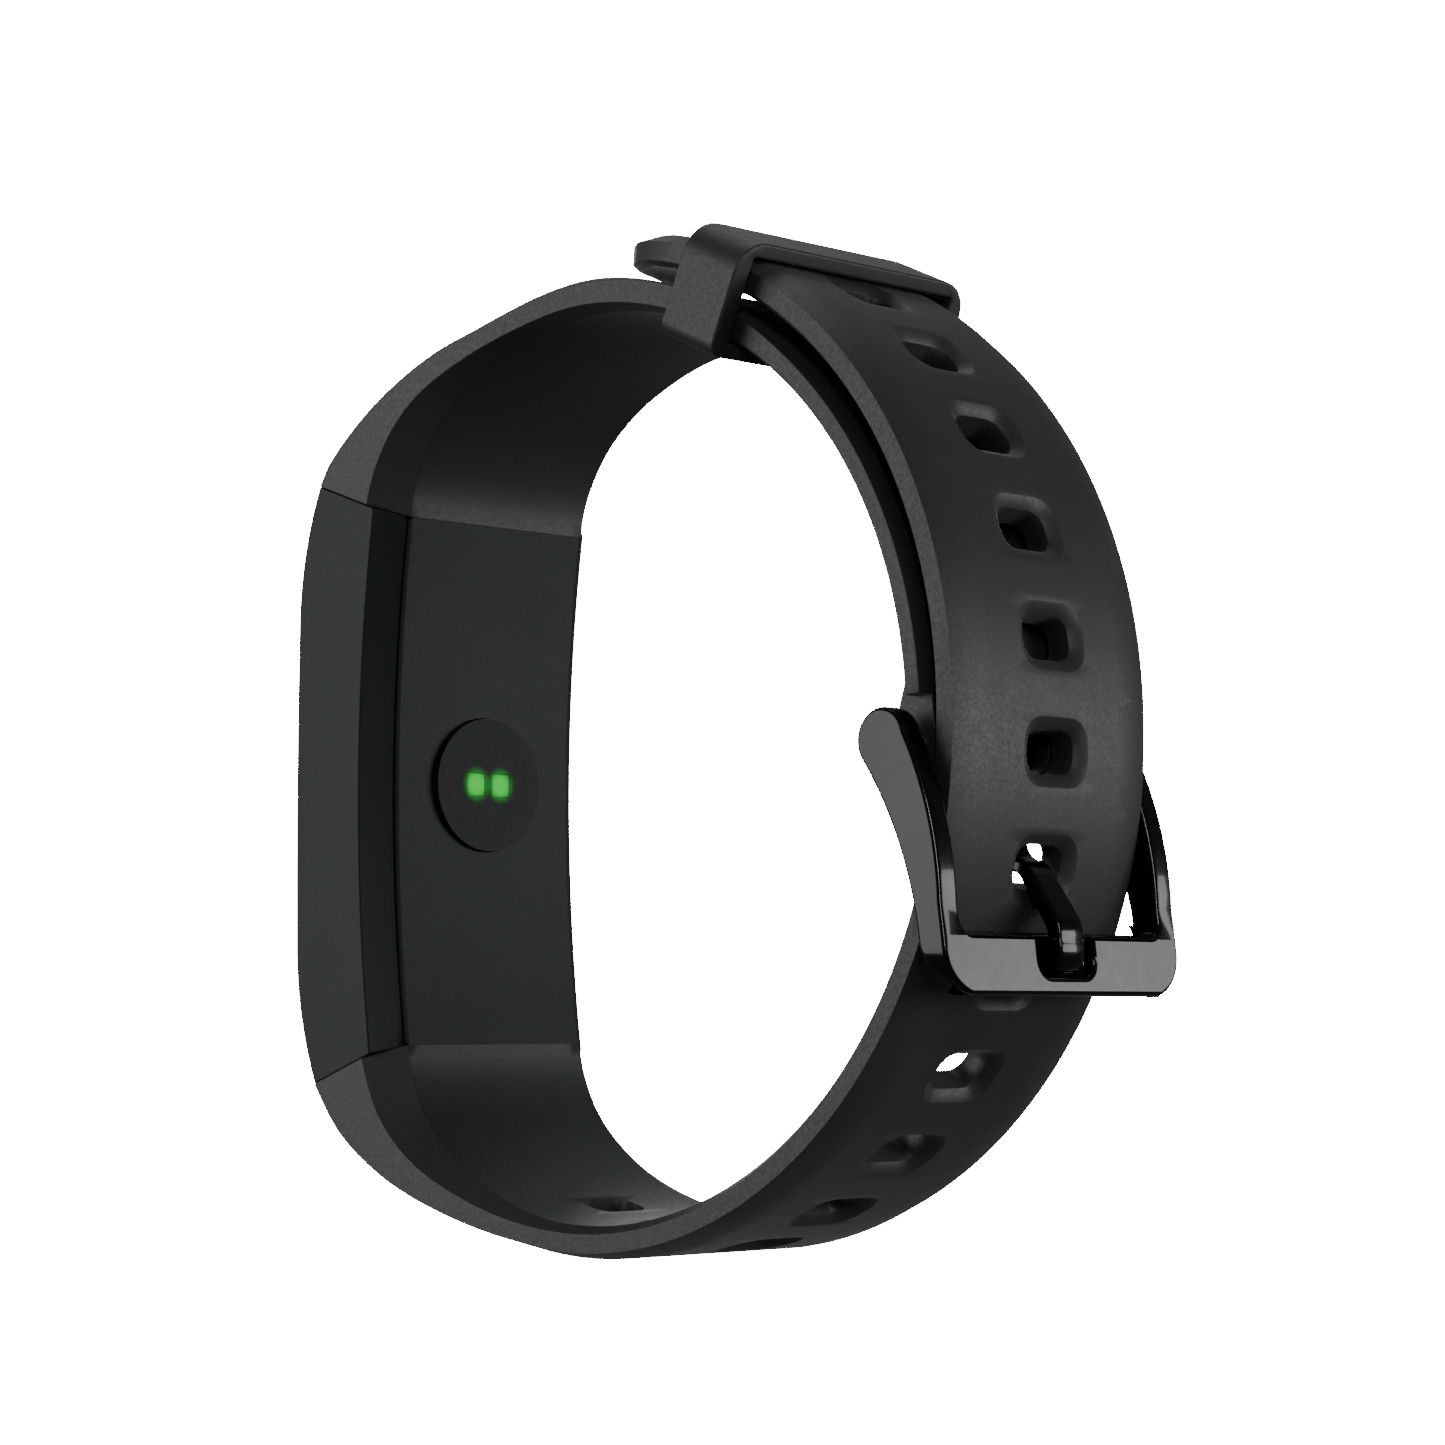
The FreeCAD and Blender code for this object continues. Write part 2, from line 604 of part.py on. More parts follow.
def strap_long():
    body = new_body("strap_long")
    profile = sketch_on(body, "XZ_Plane", "profile")
    inner, outer = dim("long_inner_radius"), dim("long_outer_radius")
    skin, front = in_ring(JOINT_SKIN, -1), in_ring(JOINT_FRONT, -1)
    tip = dim("tip_angle")
    above = (0.0, dim("upper_lift"))
    outline(profile, skin, [
        corner_arc(inner, skin, -105.0),
        (polar(inner, -50.0), (inner, 0.0)),
        ((inner, above[1]),),
        (polar(inner, 45.0, above), polar(inner, tip, above)),
        (polar(outer, tip, above),),
        (polar(outer, 45.0, above), (outer, above[1])),
        ((outer, 0.0),),
        (polar(outer, -50.0), polar(outer, -104.0)),
        (polar(30.9, -119.0), polar(31.5, -131.5)),
        (polar(31.52, -136.0), front),
        (skin,)])
    pad(body, profile, "pod_width")
    narrow_strap(body)

    socket = sketch_on(body, "XZ_Plane", "socket")
    tab_outline(socket, -1, 0.05, (POD.x, POD.z))
    pocket(body, socket, "socket_width")

    # the tip is round in plan
    rounding = sketch_on(body, "XY_Plane", "tip_plan")
    tip_x = polar(outer, tip)[0]
    radius = dim("strap_width") / 2
    start = tip_x + radius
    corner = radius * math.sqrt(0.5)
    outline(rounding, (start, -radius), [
        ((start - corner, -corner), (tip_x, 0.0)),
        ((start - corner, corner), (start, radius)),
        ((start, 12.0),), ((tip_x - 4.0, 12.0),), ((tip_x - 4.0, -12.0),), ((start, -12.0),),
        ((start, -radius),)])
    pocket(body, rounding, both_ways=False, reverse=True)

    # holes on the lower half: one, and a pattern of it round the origin
    outermost = dim("tongue_hole_angle") + dim("hole_pitch")
    features = strap_hole(body, outermost, 0.0)
    pattern = body.newObject("PartDesign::PolarPattern", "lower_holes")
    pattern.Originals = features
    axis = [f for f in body.Origin.OriginFeatures if f.Role == "Y_Axis"][0]
    pattern.Axis = (axis, [""])
    pattern.Mode = "Extent"
    pattern.setExpression("Angle", "Dims.hole_pitch * (Dims.lower_holes - 1)")
    pattern.setExpression("Occurrences", "Dims.lower_holes")
    body.Tip = pattern
    doc.recompute()
    # the upper half has its own centre, and the spacing runs on along the strap
    straight = math.degrees(dim("upper_lift") / outer)
    for count in range(1, int(dim("upper_holes")) + 1):
        strap_hole(body, outermost + count * dim("hole_pitch") - straight, dim("upper_lift"))


def strap_hole(body, degrees, centre_z):
    """An oblong hole with its countersink, at an angle about (0, centre_z)."""
    outer = dim("long_outer_radius")
    tilt = FreeCAD.Rotation(V(1, 0, 0), -degrees)
    mouth = sketch_on(body, "YZ_Plane", "hole", outer + 0.4, tilt)
    mouth.AttachmentOffset.Base += V(0, centre_z, 0)
    slot(mouth, "hole_width", "hole_length")
    through = pocket(body, mouth, "hole_depth", both_ways=False)
    rim = sketch_on(body, "YZ_Plane", "countersink", outer - dim("countersink_depth"), tilt)
    rim.AttachmentOffset.Base += V(0, centre_z, 0)
    slot(rim, "hole_width", "hole_length")
    widen = body.newObject("PartDesign::Pocket", "countersink")
    widen.Profile = rim
    widen.SideType = "One side"
    widen.Reversed = True
    widen.setExpression("Length", "Dims.countersink_depth + 0.1")
    slope = (dim("countersink_width") - dim("hole_width")) / 2 / dim("countersink_depth")
    widen.TaperAngle = math.degrees(math.atan(slope))
    doc.recompute()
    return [through, widen]


def keeper_loop():
    """A rubber loop, drawn with its radial direction along Z, then turned into place."""
    turn = FreeCAD.Rotation(V(0, 1, 0), 90.0 - dim("keeper_angle"))
    body = new_body("keeper_loop", V(0, 0, 0), turn)
    ring = sketch_on(body, "YZ_Plane", "ring")
    low, high = dim("keeper_outer_low"), dim("keeper_outer_high")
    half = dim("keeper_outer_width") / 2
    soft, small = 2.0, 1.0
    a, b = soft * (1 - math.sqrt(0.5)), small * (1 - math.sqrt(0.5))
    outline(ring, (-half + small, low), [
        ((half - small, low),),
        ((half - b, low + b), (half, low + small)),
        ((half, high - soft),),
        ((half - a, high - a), (half - soft, high)),
        ((-half + soft, high),),
        ((-half + a, high - a), (-half, high - soft)),
        ((-half, low + small),),
        ((-half + b, low + b), (-half + small, low))])
    inside = dim("keeper_inner_width") / 2
    top, bottom = dim("keeper_inner_high"), dim("keeper_inner_low")
    corners = [(-inside, bottom), (inside, bottom), (inside, top), (-inside, top)]
    outline(ring, corners[0], [(c,) for c in corners[1:] + corners[:1]])
    pad(body, ring, "keeper_length")


# ---------------------------------------------------------------- buckle

BAR_TOP = -10.45
BAR_BOTTOM = -13.75


def buckle_frame():
    body = new_body("buckle_frame", PIVOT)
    side = sketch_on(body, "XZ_Plane", "side")
    end = dim("arm_end_radius")
    outline(side, polar(end, 12.0), [
        ((3.4, -3.4), (4.35, -8.9)),
        ((4.6, -10.6),),
        ((5.0, BAR_BOTTOM),),
        ((4.3, BAR_BOTTOM - 0.1),),
        ((3.45, -12.95),),
        ((2.7, -11.2),),
        ((1.5, -6.4), polar(end, -138.0)),
        (polar(end, 110.0), polar(end, 12.0))])
    pad(body, side, "buckle_width")

    # the bar is thinner than the arms: its skin side is cut back between them
    back = sketch_on(body, "XZ_Plane", "bar_back")
    outline(back, (0.0, BAR_TOP + 0.4), [
        ((3.1, BAR_TOP + 0.4),), ((3.5, -12.5),), ((3.5, -15.0),), ((0.0, -15.0),),
        ((0.0, BAR_TOP + 0.4),)])
    pocket(body, back, "buckle_gap")

    gap = sketch_on(body, "YZ_Plane", "gap")
    half, soft = dim("buckle_gap") / 2, 0.9
    mid = soft * (1 - math.sqrt(0.5))
    outline(gap, (-half, 4.0), [
        ((-half, BAR_TOP + soft),),
        ((-half + mid, BAR_TOP + mid), (-half + soft, BAR_TOP)),
        ((half - soft, BAR_TOP),),
        ((half - mid, BAR_TOP + mid), (half, BAR_TOP + soft)),
        ((half, 4.0),), ((-half, 4.0),)])
    pocket(body, gap)

    corners = sketch_on(body, "YZ_Plane", "corners")
    half, soft = dim("buckle_width") / 2, 2.6
    mid = soft * (1 - math.sqrt(0.5))
    low = BAR_BOTTOM - 0.1
    for way in (-1, 1):
        outline(corners, (way * (half - soft), low), [
            ((way * (half - mid), low + mid), (way * half, low + soft)),
            ((way * (half + 1), low + soft),), ((way * (half + 1), low - 1),),
            ((way * (half - soft), low - 1),), ((way * (half - soft), low),)])
    pocket(body, corners)

    notch = sketch_on(body, "YZ_Plane", "notch", 3.95)
    half, low, soft = dim("notch_width") / 2, -12.75, 0.9
    mid = soft * (1 - math.sqrt(0.5))
    outline(notch, (-half, -10.0), [
        ((-half, low + soft),),
        ((-half + mid, low + mid), (-half + soft, low)),
        ((half - soft, low),),
        ((half - mid, low + mid), (half, low + soft)),
        ((half, -10.0),), ((-half, -10.0),)])
    pocket(body, notch, both_ways=False, reverse=True)

    pins = sketch_on(body, "XZ_Plane", "pin_holes")
    circle(pins, "pin_hole_radius")
    pocket(body, pins, "pin_hole_reach")


def buckle_tongue():
    body = new_body("buckle_tongue", PIVOT + V(0, dim("tongue_shift"), 0))
    barrel = sketch_on(body, "XZ_Plane", "barrel")
    circle(barrel, "barrel_radius")
    pad(body, barrel, "barrel_width")
    arm = sketch_on(body, "XZ_Plane", "arm")
    outline(arm, polar(1.15, -15.0), [
        ((1.05, -4.8),),
        ((1.25, -5.8), (1.95, -6.25)),
        ((2.4, -6.4), (2.8, -6.75)),
        ((4.6, -9.25),),
        ((4.95, -9.95), (5.02, -10.7)),
        ((4.93, -12.0), (4.5, -12.6)),
        ((4.15, -12.2), (4.08, -10.9)),
        ((4.0, -10.35), (3.75, -9.8)),
        ((2.1, -7.3),),
        ((1.88, -7.07), (1.55, -6.95)),
        ((0.45, -6.2), (0.15, -4.9)),
        (polar(1.15, -97.0),),
        (polar(1.15, -15.0),)])
    pad(body, arm, "tongue_width")
    bore = sketch_on(body, "XZ_Plane", "bore")
    circle(bore, "barrel_bore_radius")
    pocket(body, bore)


def rod(label, radius, start, end):
    """A round solid along Y about the pivot's axis."""
    solid = Part.makeCylinder(radius, end - start, V(0, start, 0), V(0, 1, 0))
    return solid if label is None else shape_node(label, solid, PIVOT)


def spring_bar():
    half, bore = dim("tube_length") / 2, dim("tube_bore_length") / 2
    tube = rod(None, dim("tube_radius"), -half, half)
    tube = tube.cut(rod(None, dim("tube_bore_radius"), -bore, bore))
    tube = tube.cut(rod(None, dim("tube_mouth_radius"), -half - 1, half + 1))
    shape_node("spring_bar_tube", tube, PIVOT)

    head_end = bore - 0.05
    head_start = head_end - dim("pin_head_length")
    for name, side in (("near", -1), ("far", 1)):
        pin = rod(None, dim("pin_head_radius"), head_start, head_end)
        pin = pin.fuse(rod(None, dim("pin_radius"), head_start, dim("pin_tip")))
        if side < 0:
            pin = pin.mirror(V(0, 0, 0), V(0, 1, 0))
        shape_node(f"spring_bar_pin_{name}", pin.removeSplitter(), PIVOT)

    length = 2 * (head_start - dim("spring_wire_radius") - 0.02)
    helix = Part.makeHelix(dim("spring_pitch"), length, dim("spring_radius"))
    wire_end = Part.Wire([Part.makeCircle(
        dim("spring_wire_radius"), V(dim("spring_radius"), 0, 0), V(0, 1, 0))])
    coil = Part.Wire(helix.Edges).makePipeShell([wire_end], True, True)
    coil.rotate(V(0, 0, 0), V(1, 0, 0), -90)
    coil.translate(V(0, -length / 2, 0))
    shape_node("spring_bar_spring", coil, PIVOT)


# ---------------------------------------------------------------- build and check

main_housing()
rear_cover()
sensor_window()
pod_electronics()
sensor_flex()
front_lens()
lens_gasket()
green_leds()
rear_seal()
charge_contacts()
strap_short()
strap_long()
keeper_loop()
buckle_frame()
buckle_tongue()
spring_bar()
doc.recompute()

for item in doc.Objects:
    if {"Invalid", "Error"} & set(item.State):
        raise RuntimeError(f"{item.Name} failed: {item.State}")

os.makedirs("parts", exist_ok=True)
for node in nodes:
    shape = node.Shape
    if shape.isNull() or not shape.isValid():
        raise RuntimeError(f"{node.Label} has no valid shape")
    shape.exportStep(f"parts/{node.Label}.step")
    print(f"{node.Label}: {shape.Volume:.2f} mm3, {len(shape.Solids)} solid")
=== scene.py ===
import bmesh
import bpy
import json
import math
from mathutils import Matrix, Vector


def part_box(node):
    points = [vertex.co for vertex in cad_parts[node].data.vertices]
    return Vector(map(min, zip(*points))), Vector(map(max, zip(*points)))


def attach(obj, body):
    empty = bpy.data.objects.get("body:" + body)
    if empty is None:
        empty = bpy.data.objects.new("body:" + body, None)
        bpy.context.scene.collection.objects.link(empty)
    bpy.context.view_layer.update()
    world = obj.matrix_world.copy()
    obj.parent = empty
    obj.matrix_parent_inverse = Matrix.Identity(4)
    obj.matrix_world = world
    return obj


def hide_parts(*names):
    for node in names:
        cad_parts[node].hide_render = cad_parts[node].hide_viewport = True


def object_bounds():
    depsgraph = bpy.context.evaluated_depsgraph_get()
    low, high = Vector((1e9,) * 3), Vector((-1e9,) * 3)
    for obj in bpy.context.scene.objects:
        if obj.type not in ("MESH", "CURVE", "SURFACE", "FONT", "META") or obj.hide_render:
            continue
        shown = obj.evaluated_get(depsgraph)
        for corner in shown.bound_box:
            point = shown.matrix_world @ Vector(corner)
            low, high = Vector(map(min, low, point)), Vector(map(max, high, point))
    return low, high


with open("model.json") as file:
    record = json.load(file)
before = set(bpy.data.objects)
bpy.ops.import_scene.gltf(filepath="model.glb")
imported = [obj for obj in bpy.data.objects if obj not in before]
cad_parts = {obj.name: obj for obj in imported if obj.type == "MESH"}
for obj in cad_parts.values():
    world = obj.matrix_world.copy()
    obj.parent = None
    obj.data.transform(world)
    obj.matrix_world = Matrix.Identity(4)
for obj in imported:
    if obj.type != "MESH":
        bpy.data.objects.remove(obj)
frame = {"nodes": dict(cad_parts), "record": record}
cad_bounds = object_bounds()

# Fitness tracker band. The frame is in metres; lengths below are in millimetres.
# The two straps follow a ring about the origin, so a place on them is a radius and an angle
# in the XZ plane, measured from +X towards +Z.

MM = 0.001
nodes = frame["nodes"]


def smooth(amount):
    """0 below 0, 1 above 1, and an even S between."""
    amount = min(max(amount, 0.0), 1.0)
    return amount * amount * (3.0 - 2.0 * amount)


def polar(radius, degrees):
    turn = math.radians(degrees)
    return (radius * math.cos(turn), radius * math.sin(turn))


def through(keys, at):
    """A smooth curve through (place, value) pairs, level beyond its ends."""
    keys = sorted(keys)
    if at <= keys[0][0]:
        return keys[0][1]
    if at >= keys[-1][0]:
        return keys[-1][1]
    index = max(i for i in range(len(keys) - 1) if keys[i][0] <= at)

    def slope(i):
        before, after = keys[max(i - 1, 0)], keys[min(i + 1, len(keys) - 1)]
        return (after[1] - before[1]) / (after[0] - before[0])

    (start, low), (end, high) = keys[index], keys[index + 1]
    span = end - start
    x = (at - start) / span
    rise = x * x * (3 - 2 * x)
    pull = x * (1 - x) ** 2 * slope(index) - x * x * (1 - x) * slope(index + 1)
    return low + (high - low) * rise + span * pull


# ---------------------------------------------------------------- materials

LED_HALF = 0.75             # half the side of one green LED


def material(name, colour, roughness, metallic=0.0, **sockets):
    """A Principled material; sockets are more Principled inputs, with _ for a space."""
    made = bpy.data.materials.new(name)
    made.use_nodes = True
    shader = made.node_tree.nodes["Principled BSDF"]
    shader.inputs["Base Color"].default_value = (*colour, 1.0)
    shader.inputs["Roughness"].default_value = roughness
    shader.inputs["Metallic"].default_value = metallic
    for key, value in sockets.items():
        shader.inputs[key.replace("_", " ")].default_value = value
    return made


def node(made, kind, **values):
    new = made.node_tree.nodes.new(kind)
    for key, value in values.items():
        if key in new.inputs:
            new.inputs[key].default_value = value
        else:
            setattr(new, key, value)
    return new


def link(made, source, output, target, socket):
    made.node_tree.links.new(source.outputs[output], target.inputs[socket])


def shader_of(made):
    return made.node_tree.nodes["Principled BSDF"]


def noise(made, per_mm, detail=3.0):
    """Noise in object coordinates, with about per_mm lumps in a millimetre."""
    place = node(made, "ShaderNodeTexCoord")
    lumps = node(made, "ShaderNodeTexNoise", Scale=per_mm / MM, Detail=detail)
    link(made, place, "Object", lumps, "Vector")
    return lumps


def vary(made, source, socket, low, high):
    """Drive a shader input from noise, between low and high."""
    spread = node(made, "ShaderNodeMapRange")
    spread.inputs["From Min"].default_value = 0.3
    spread.inputs["From Max"].default_value = 0.7
    spread.inputs["To Min"].default_value = low
    spread.inputs["To Max"].default_value = high
    link(made, source, "Fac", spread, "Value")
    link(made, spread, "Result", shader_of(made), socket)


def vary_colour(made, source, low, high):
    ramp = node(made, "ShaderNodeValToRGB")
    ramp.color_ramp.elements[0].position = 0.3
    ramp.color_ramp.elements[1].position = 0.7
    ramp.color_ramp.elements[0].color = (*low, 1.0)
    ramp.color_ramp.elements[1].color = (*high, 1.0)
    link(made, source, "Fac", ramp, "Fac")
    link(made, ramp, "Color", shader_of(made), "Base Color")


def grain(made, source, height_mm, strength=0.5):
    """Bump from noise, this many millimetres high."""
    bump = node(made, "ShaderNodeBump", Strength=strength, Distance=height_mm * MM)
    link(made, source, "Fac", bump, "Height")
    link(made, bump, "Normal", shader_of(made), "Normal")


def grey(value):
    return (value, value, value * 1.03)


def silicone():
    made = material("strap silicone", grey(0.022), 0.5, Sheen_Weight=0.12, Sheen_Roughness=0.4)
    fine = noise(made, 5.0)
    broad = noise(made, 0.12)
    vary_colour(made, broad, grey(0.019), grey(0.025))
    vary(made, fine, "Roughness", 0.44, 0.56)
    grain(made, fine, 0.012)
    return made


def housing_plastic():
    made = material("housing satin black", grey(0.014), 0.36, Specular_IOR_Level=0.15)
    fine = noise(made, 7.0)
    vary_colour(made, noise(made, 0.1), grey(0.012), grey(0.016))
    vary(made, fine, "Roughness", 0.32, 0.4)
    grain(made, fine, 0.004)
    return made


def cover_plastic():
    made = material("rear cover satin black", grey(0.014), 0.44, Specular_IOR_Level=0.13)
    fine = noise(made, 8.0)
    vary_colour(made, noise(made, 0.15), grey(0.012), grey(0.016))
    vary(made, fine, "Roughness", 0.38, 0.46)
    grain(made, fine, 0.005)
    return made


def black_metal():
    made = material("buckle gloss black", grey(0.01), 0.2, metallic=0.9, Coat_Weight=0.45,
                    Coat_Roughness=0.06)
    broad = noise(made, 0.25)
    vary_colour(made, broad, grey(0.008), grey(0.012))
    vary(made, noise(made, 1.5), "Roughness", 0.17, 0.24)
    return made


def glow(made, near_mm, far_mm, colour, strength):
    """Emission that fades with distance from the middle of each green LED; on the LEDs it is
    their own light, on the window a painted glow.
    """
    place = node(made, "ShaderNodeTexCoord")
    low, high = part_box("green_leds")
    led_y = (high.y - low.y) / 2 - LED_HALF * MM
    fades = []
    for side in (-1, 1):
        away = node(made, "ShaderNodeVectorMath", operation="DISTANCE")
        away.inputs[1].default_value = (high.x, side * led_y, (low.z + high.z) / 2)
        link(made, place, "Object", away, 0)
        fade = node(made, "ShaderNodeMapRange", interpolation_type="SMOOTHERSTEP")
        fade.inputs["From Min"].default_value = near_mm * MM
        fade.inputs["From Max"].default_value = far_mm * MM
        fade.inputs["To Min"].default_value = 1.0
        fade.inputs["To Max"].default_value = 0.0
        link(made, away, "Value", fade, "Value")
        fades.append(fade)
    total = node(made, "ShaderNodeMath", operation="ADD")
    for index, fade in enumerate(fades):
        link(made, fade, "Result", total, index)
    tint = node(made, "ShaderNodeValToRGB")
    tint.color_ramp.elements[0].color = (0.0, 0.0, 0.0, 1.0)
    tint.color_ramp.elements[1].color = colour
    link(made, total, "Value", tint, "Fac")
    link(made, tint, "Color", shader_of(made), "Emission Color")
    shader_of(made).inputs["Emission Strength"].default_value = strength


def lit_led():
    made = material("green led", (0.0, 0.05, 0.005), 0.3, Specular_IOR_Level=0.1)
    vary_colour(made, noise(made, 2.0), (0.0, 0.04, 0.003), (0.0, 0.06, 0.005))
    glow(made, 0.3, 1.25, (0.0, 1.0, 0.04, 1.0), 0.7)
    return made


def plain(name, low, high, roughness, lumps, metallic=0.0, bump=0.004):
    """A simple moulded, printed or rolled surface with a little variation."""
    made = material(name, low, roughness, metallic)
    source = noise(made, lumps)
    vary_colour(made, source, low, high)
    vary(made, source, "Roughness", roughness * 0.85, roughness * 1.15)
    grain(made, source, bump)
    return made


def window_plastic():
    """Dark tinted window, with a painted glow: emission round the two LEDs stands in for their
    light spreading a little way into it.
    """
    made = material("sensor window", grey(0.012), 0.42, Specular_IOR_Level=0.1)
    fine = noise(made, 6.0)
    vary(made, fine, "Roughness", 0.38, 0.46)
    # painted glow: green emission on the window round each LED, fading out between 0.45 and
    # 1.35 mm from its middle
    glow(made, 0.45, 1.35, (0.0, 1.0, 0.04, 1.0), 0.25)
    return made


MATERIALS = {
    "strap_rubber": silicone(),
    "housing_black": housing_plastic(),
    "cover_black": cover_plastic(),
    "window_black": window_plastic(),
    "led_green": lit_led(),
    "lens_black": plain("front lens", grey(0.006), grey(0.008), 0.06, 0.2, bump=0.0005),
    "display_black": plain("display", (0.01, 0.012, 0.02), (0.012, 0.014, 0.024), 0.15, 0.3),
    "film_clear": plain("touch film", (0.3, 0.34, 0.35), (0.34, 0.38, 0.39), 0.2, 0.5),
    "board_green": plain("circuit board", (0.015, 0.1, 0.04), (0.02, 0.14, 0.05), 0.45, 1.5),
    "chip_black": plain("chip", grey(0.02), grey(0.03), 0.6, 3.0),
    "battery_foil": plain("battery foil", grey(0.5), grey(0.6), 0.35, 0.8, 1.0, 0.02),
    "photodiode_glass": plain("photodiode", (0.04, 0.04, 0.07), (0.05, 0.05, 0.09), 0.1, 1.0),
    "motor_steel": plain("motor can", grey(0.5), grey(0.6), 0.3, 2.0, 1.0),
    "flex_amber": plain("flex", (0.4, 0.16, 0.02), (0.5, 0.2, 0.03), 0.3, 1.0),
    "gasket_black": plain("gasket", grey(0.015), grey(0.02), 0.8, 3.0),
    "contact_gold": plain("gold contact", (0.8, 0.56, 0.2), (0.85, 0.62, 0.25), 0.22, 3.0, 1.0),
    "buckle_black": black_metal(),
    "bar_steel": plain("spring bar", grey(0.3), grey(0.36), 0.28, 3.0, 1.0),
}


def finish_cad_nodes():
    """Every CAD node that shows takes its slot's material."""
    for part in frame["record"]["subparts"]:
        piece = nodes[part["node"]]
        piece.data.materials.clear()
        piece.data.materials.append(MATERIALS[part["material_slot"]])


SAME_PLACE = 0.001          # points nearer than this are one
SLIVER = 0.008              # rounding leaves nothing thinner than this
SHARP = 28.0                # degrees; sharper edges are rounded
FLAT = 1.0                  # degrees; flatter edges are not edges at all


def soften(piece, width, segments=3, join_flats=False):
    """Round the edges of a piece and keep its faces flat.

    join_flats first joins the triangles of each flat face, which leaves the rounding room.
    """
    weld = piece.modifiers.new("weld", "WELD")
    weld.merge_threshold = SAME_PLACE * MM
    if join_flats:
        flats = piece.modifiers.new("flats", "DECIMATE")
        flats.decimate_type = "DISSOLVE"
        flats.angle_limit = math.radians(FLAT)
    edge = piece.modifiers.new("edge", "BEVEL")
    edge.use_clamp_overlap = not join_flats
    edge.width = width * MM
    edge.segments = segments
    edge.limit_method = "ANGLE"
    edge.angle_limit = math.radians(SHARP)
    edge.miter_outer = "MITER_ARC"
    slivers = piece.modifiers.new("slivers", "WELD")
    slivers.merge_threshold = SLIVER * MM
    even = piece.modifiers.new("even", "WEIGHTED_NORMAL")
    even.keep_sharp = False
    for face in piece.data.polygons:
        face.use_smooth = True


# ---------------------------------------------------------------- strap meshes

SAME_CORNER = 1e-5          # corners of one face nearer than this are one
SEAM = 0.02                 # points of a finished mesh nearer than this are one


class Skin:
    """Collects faces in millimetres and makes one closed mesh of them."""

    def __init__(self):
        self.mesh = bmesh.new()

    def face(self, points):
        """One face; points that fall together make one corner."""
        corners = []
        for point in points:
            if not any((Vector(point) - c.co).length < SAME_CORNER for c in corners):
                corners.append(self.mesh.verts.new(point))
        if len(corners) > 2:
            self.mesh.faces.new(corners)

    def grid(self, rows, closed=False):
        """Quads between neighbouring rows of points."""
        for row, after in zip(rows, rows[1:]):
            count = len(row)
            for i in range(count if closed else count - 1):
                j = (i + 1) % count
                self.face([row[i], row[j], after[j], after[i]])

    def piece(self, name, slot_name):
        """Close the mesh and make an object of it, in metres."""
        bmesh.ops.remove_doubles(self.mesh, verts=self.mesh.verts, dist=SEAM)
        bmesh.ops.recalc_face_normals(self.mesh, faces=self.mesh.faces)
        bmesh.ops.scale(self.mesh, vec=(MM, MM, MM), verts=self.mesh.verts)
        data = bpy.data.meshes.new(name)
        self.mesh.to_mesh(data)
        self.mesh.free()
        data.materials.append(MATERIALS[slot_name])
        made = bpy.data.objects.new(name, data)
        bpy.context.scene.collection.objects.link(made)
        return made


STRAP_EDGE = 0.14           # rounding of the straps' edges
ACROSS = 12                 # steps across a strap
CELL = 8                    # steps along a strap for each hole
WIDE, NARROW = 9.0, 8.15    # half width at the pod, and further on
TAPER_X, TAPER = -19.0, 16.5    # where the straps start to narrow, and over what length
SKIN_HALF = 7.28            # half width of the flat skin side near the pod
SPREAD = [math.sin(math.pi * (i / ACROSS - 0.5)) for i in range(ACROSS + 1)]


def half_width(x):
    return WIDE + (NARROW - WIDE) * smooth((x - TAPER_X) / TAPER)


class Strap:
    """One strap's lines round the ring.

    Each line is a list of (angle, radius) from the pod's joint on: the edge of the flat skin
    side, the two edges of the side face, and the edge of the outer face. chamfer(angle) is
    how far the outer face stops short of the strap's side, and flat(angle) is half the width
    of the flat skin side. lift raises the upper half of the strap.
    """

    def __init__(self, lines, joined, chamfer, flat, lift=0.0):
        self.lines = lines
        self.joined = joined
        self.chamfer = chamfer
        self.flat = flat
        self.lift = lift

    def angle(self, line, common):
        """Near the pod each line starts at the slanting joint, and they fall in step."""
        keys = self.lines[line]
        start = keys[0][0]
        first = self.lines["skin"][0][0]
        if (common - self.joined) * (first - self.joined) <= 0:
            return common
        share = (common - self.joined) / (first - self.joined)
        return self.joined + share * (start - self.joined)

    def radius(self, line, angle):
        raised = self.lift * max(math.sin(math.radians(angle)), 0.0)
        return through(self.lines[line], angle) + raised

    def point(self, line, common, y, inset=0.0):
        angle = self.angle(line, common)
        x, z = polar(self.radius(line, angle) - inset, angle)
        return (x, y, z)

    def half(self, line, common):
        """How far a line lies from the middle of the strap."""
        if line == "skin":
            return self.flat(common)
        wide = half_width(self.point(line, common, 0)[0])
        return wide - self.chamfer(common) if line == "outer" else wide

    def row(self, line, common):
        """Points across the outer face or the skin side."""
        half = self.half(line, common)
        return [self.point(line, common, half * s) for s in SPREAD]

    def section(self, common):
        """The closed section as a loop of points."""
        outer, skin = self.row("outer", common), self.row("skin", common)
        far = [self.point(line, common, self.half(line, common)) for line in ("high", "low")]
        near = [self.point(line, common, -self.half(line, common)) for line in ("low", "high")]
        return outer + far + skin[::-1] + near

    def sides(self, skin, angles):
        """The side faces and their bevels along a stretch with holes."""
        for way in (-1, 1):
            rows = []
            for line in ("outer", "high", "low", "skin"):
                rows.append([self.point(line, a, way * self.half(line, a)) for a in angles])
            skin.grid(rows)


def oblong(direction, long_half, short_half, corner):
    """Where a ray from the middle meets a rounded rectangle, longer across the strap."""
    low, high = 0.0, long_half * 1.5
    for _ in range(30):
        length = (low + high) / 2
        u, v = abs(direction[0]) * length, abs(direction[1]) * length
        beyond = Vector((max(u - short_half + corner, 0.0), max(v - long_half + corner, 0.0)))
        low, high = (length, high) if beyond.length < corner else (low, length)
    return (direction[0] * low, direction[1] * low)


